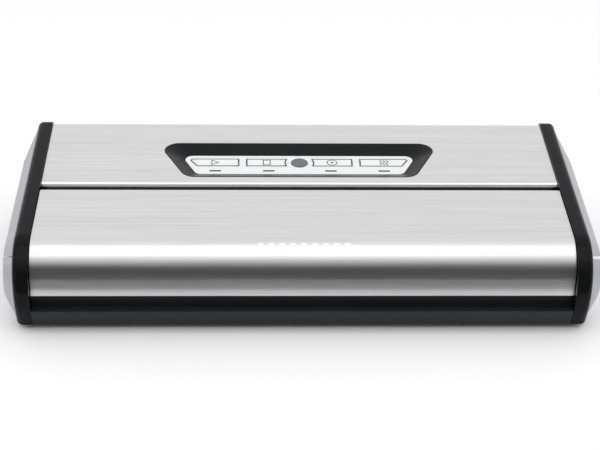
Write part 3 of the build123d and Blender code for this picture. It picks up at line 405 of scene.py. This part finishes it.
def inkRibbon(path, wide, closed=True):
    # each side is the path moved half the width along its mitred normal, and four such rails make a flat box section
    path = np.asarray(path, float)
    ahead = np.roll(path, -1, axis=0) - path
    if not closed:
        ahead[-1] = ahead[-2]
    ahead /= np.linalg.norm(ahead, axis=1)[:, None]
    behind = np.roll(ahead, 1, axis=0)
    if not closed:
        behind[0] = ahead[0]
    turn = ahead + behind
    turn /= np.linalg.norm(turn, axis=1)[:, None]
    side = np.stack([-turn[:, 1], turn[:, 0]], axis=1)
    reach = 1 / np.maximum(0.5, np.abs(np.sum(side * np.stack([-ahead[:, 1], ahead[:, 0]], axis=1), axis=1)))
    left, right = path + side * (reach * wide / 2)[:, None], path - side * (reach * wide / 2)[:, None]
    rails = [(left, 0.0), (right, 0.0), (right, panel["inkThick"]), (left, panel["inkThick"])]
    points = np.stack([ontoPanel(p[:, 0], p[:, 1], np.full(len(p), h)) for p, h in rails], axis=1)
    count = len(path)
    steps = np.arange(count if closed else count - 1)
    corner = np.arange(4)
    a = (steps[:, None] * 4 + corner).ravel()
    b = (steps[:, None] * 4 + (corner + 1) % 4).ravel()
    nextStep = (steps + 1) % count
    c = (nextStep[:, None] * 4 + (corner + 1) % 4).ravel()
    d = (nextStep[:, None] * 4 + corner).ravel()
    faces = np.stack([a, b, c, d], axis=1).tolist()
    if not closed:
        faces += [[3, 2, 1, 0], [4 * count - 4, 4 * count - 3, 4 * count - 2, 4 * count - 1]]
    return points.reshape(-1, 3), faces


def inkDot(centre, radius, turns=20):
    # a ribbon whose width closes its own middle: a ring of half the radius, as wide as the radius
    angle = np.linspace(0, 2 * math.pi, turns, endpoint=False)
    ring = np.stack([np.cos(angle), np.sin(angle)], axis=1) * radius / 2 + centre
    return inkRibbon(ring, radius * 0.98)


def makePiece(name, shapes, body, material):
    points, faces, base = [], [], 0
    for shapePoints, shapeFaces in shapes:
        points.append(shapePoints)
        faces += [[i + base for i in face] for face in shapeFaces]
        base += len(shapePoints)
    mesh = bpy.data.meshes.new(name)
    mesh.from_pydata(np.concatenate(points).tolist(), [], faces)
    mesh.update()
    mesh.materials.append(material)
    made = bpy.data.objects.new(name, mesh)
    bpy.context.scene.collection.objects.link(made)
    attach(made, body)
    return made


def circlePath(centre, radius, turns=40):
    angle = np.linspace(0, 2 * math.pi, turns, endpoint=False)
    return np.stack([np.cos(angle), np.sin(angle)], axis=1) * radius + np.asarray(centre)


def wavePath(centre, half, swing, turns=24):
    # one and a half slow sine swings from bottom to top
    t = np.linspace(-1, 1, turns)
    return np.stack([centre[0] + swing * np.sin(t * math.pi * 1.5), centre[1] + t * half], axis=1)


keyPrint = {
    "front": 0.0293, "back": 0.0393, "inset": 0.0005,
    "outerStart": 0.042, "outerFront": 0.0715, "outerBack": 0.076, "outerChamfer": 0.002,
    "innerStart": 0.0085, "innerEnd": 0.037, "lampLine": 0.0338, "lampRoom": 0.0096,
    "iconHalf": 0.0021, "iconTall": 1.45, "iconLine": 0.0343,
}


def outerKeyLine(sign):
    k = keyPrint
    i = k["inset"]
    line = np.array([
        (k["outerStart"] + i, k["front"] + i), (k["outerFront"] - i * 0.7, k["front"] + i),
        (k["outerBack"] - i * 1.1, k["back"] - k["outerChamfer"]), (k["outerBack"] - 0.0012 - i * 0.7, k["back"] - i),
        (k["outerStart"] + i, k["back"] - i),
    ])
    line[:, 0] *= sign
    return line[::sign]


def innerKeyLine(sign):
    # the end beside the lamp follows a circle round it
    k = keyPrint
    i = k["inset"]
    room = k["lampRoom"] + i
    low, high = k["front"] + i, k["back"] - i
    rise = np.linspace(high, low, 12) - k["lampLine"]
    arc = np.stack([np.maximum(np.sqrt(np.maximum(room**2 - rise**2, 0)), k["innerStart"] + i), rise + k["lampLine"]],
                   axis=1)
    line = np.concatenate([arc, [(k["innerEnd"] - i, low), (k["innerEnd"] - i, high)]])
    line[:, 0] *= sign
    return line[::sign]


def keyMiddle(name):
    low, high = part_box(name)
    return (low.x + high.x) / 2, keyPrint["iconLine"]


def printKeys():
    half, wide = keyPrint["iconHalf"], panel["lineWide"]
    x, y = keyMiddle("start_key")
    tall = half * keyPrint["iconTall"]
    play = [(x - half * 0.9, y - tall), (x + half * 1.35, y), (x - half * 0.9, y + tall)]
    makePiece("startKeyPrint", [inkRibbon(outerKeyLine(-1), wide), inkRibbon(play, wide * 0.8)], "start",
              finishes["printInk"])
    x, y = keyMiddle("stop_key")
    side = half * 1.15
    square = [(x - side, y - tall), (x + side, y - tall), (x + side, y + tall), (x - side, y + tall)]
    makePiece("stopKeyPrint", [inkRibbon(innerKeyLine(-1), wide), inkRibbon(square, wide * 0.8)], "stop",
              finishes["printInk"])
    x, y = keyMiddle("mode_key")
    makePiece("modeKeyPrint",
              [inkRibbon(innerKeyLine(1), wide), inkRibbon(circlePath((x, y), half * 1.6), wide * 0.8),
               inkDot((x, y), half * 0.45)], "mode", finishes["printInk"])
    x, y = keyMiddle("seal_key")
    waves = [inkRibbon(wavePath((x + shift * half * 1.05, y), tall * 1.1, half * 0.3), wide * 0.8, closed=False)
             for shift in (-1, 0, 1)]
    makePiece("sealKeyPrint", [inkRibbon(outerKeyLine(1), wide), *waves], "seal", finishes["printInk"])


printKeys()
print("keys printed")

# Camera, floor and lights
shot = {"place": (-0.0383, -0.981, 0.5461), "pitch": 27.51, "yaw": 2.23, "roll": 1.07, "lens": 96.6}
cameraData = bpy.data.cameras.new("camera")
camera = bpy.data.objects.new("camera", cameraData)
bpy.context.scene.collection.objects.link(camera)
cameraData.sensor_width = 36.0
cameraData.lens = shot["lens"]
cameraData.clip_end = 50.0
camera.location = shot["place"]
camera.rotation_mode = "QUATERNION"
aim = Euler((math.radians(90 - shot["pitch"]), 0, math.radians(-shot["yaw"]))).to_quaternion()
camera.rotation_quaternion = aim @ Quaternion((0, 0, 1), math.radians(shot["roll"]))
bpy.context.scene.camera = camera

floorMesh = bpy.data.meshes.new("floor")
floorLook = {"half": 8, "dark": (0.955, 0.955, 0.96), "light": (0.985, 0.985, 0.985)}
reach = floorLook["half"]
floorMesh.from_pydata([(-reach, -reach, 0), (reach, -reach, 0), (reach, reach, 0), (-reach, reach, 0)], [],
                      [(0, 1, 2, 3)])
floor = bpy.data.objects.new("floor", floorMesh)
floor.location.z = cadBox[0].z
bpy.context.scene.collection.objects.link(floor)
floorPaint, floorTree, floorShader = startMaterial("floorPaint", 0.9, **{"Specular IOR Level": 0.0})
floorNoise = addNode(floorTree, "ShaderNodeTexNoise", (-600, 0), Scale=3.0, Detail=2.0)
join(floorTree,
     mixColours(floorTree, floorNoise.outputs["Fac"], floorLook["dark"], floorLook["light"], (-300, 0)),
     floorShader.inputs["Base Color"])
floorMesh.materials.append(floorPaint)

lights = {
    "over": {"place": (0.0, -0.58, 1.5), "aim": (0, -0.06, 0.05), "size": (2.4, 1.1), "power": 6.5},
    "left": {"place": (-1.6, -0.3, 0.8), "aim": (0, 0, 0.05), "size": (0.5, 0.7), "power": 1.6},
    "right": {"place": (1.6, -0.3, 0.8), "aim": (0, 0, 0.05), "size": (0.5, 0.7), "power": 1.6},
}
for lightName, setting in lights.items():
    data = bpy.data.lights.new(lightName, "AREA")
    data.shape = "RECTANGLE"
    data.size, data.size_y = setting["size"]
    data.energy = setting["power"]
    lamp = bpy.data.objects.new(lightName, data)
    lamp.location = setting["place"]
    lamp.rotation_mode = "QUATERNION"
    lamp.rotation_quaternion = (Vector(setting["aim"]) - Vector(setting["place"])).to_track_quat("-Z", "Y")
    bpy.context.scene.collection.objects.link(lamp)

# Dark card in front, out of the camera's sight: only what is shiny sees it
card = {"start": -0.13, "turn": -0.55, "half": 0.55, "top": 0.24, "low": 0.002}
cardMesh = bpy.data.meshes.new("card")
cardRows = [(card["start"], card["low"]), (card["turn"], card["low"]), (card["turn"], card["top"])]
cardMesh.from_pydata([(side * card["half"], y, z) for y, z in cardRows for side in (-1, 1)], [],
                     [(0, 1, 3, 2), (2, 3, 5, 4)])
cardPiece = bpy.data.objects.new("card", cardMesh)
bpy.context.scene.collection.objects.link(cardPiece)
cardPaint, cardTree, cardShader = startMaterial("cardPaint", 0.9)
cardNoise = addNode(cardTree, "ShaderNodeTexNoise", (-600, 0), Scale=5.0, Detail=2.0)
join(cardTree, mixColours(cardTree, cardNoise.outputs["Fac"], (0.03, 0.03, 0.03), (0.05, 0.05, 0.05), (-300, 0)),
     cardShader.inputs["Base Color"])
cardMesh.materials.append(cardPaint)
for sight in ("visible_camera", "visible_diffuse", "visible_shadow", "visible_transmission"):
    setattr(cardPiece, sight, False)

# Room light: pale all round, a little dimmer low down in front
room = {"strength": 0.98, "dim": (0.45, 0.45, 0.46, 1), "pale": (1, 1, 1, 1),
        "rise": (0.5, 0.7), "front": (-0.25, 0.15)}
world = bpy.data.worlds.new("room")
bpy.context.scene.world = world
world.use_nodes = True
sky = world.node_tree
background = sky.nodes["Background"]
background.inputs["Strength"].default_value = room["strength"]
direction = addNode(sky, "ShaderNodeTexCoord", (-1000, 0))
axes = addNode(sky, "ShaderNodeSeparateXYZ", (-800, 0))
join(sky, direction.outputs["Generated"], axes.inputs[0])
heightRamp = addNode(sky, "ShaderNodeValToRGB", (-600, 150))
for stop, position, colour in zip(heightRamp.color_ramp.elements, room["rise"], (room["dim"], room["pale"])):
    stop.position = position
    stop.color = colour
join(sky, axes.outputs["Z"], heightRamp.inputs["Fac"])
frontRamp = addNode(sky, "ShaderNodeMapRange", (-600, -100))
frontRamp.inputs["From Min"].default_value, frontRamp.inputs["From Max"].default_value = room["front"]
join(sky, axes.outputs["Y"], frontRamp.inputs["Value"])
mixed = addNode(sky, "ShaderNodeMix", (-300, 0), data_type="RGBA")
join(sky, frontRamp.outputs[0], mixed.inputs[0])
join(sky, heightRamp.outputs[0], mixed.inputs[6])
mixed.inputs[7].default_value = room["pale"]
join(sky, mixed.outputs[2], background.inputs["Color"])
bpy.context.scene.view_settings.view_transform = "Standard"
print("camera, floor and lights set")
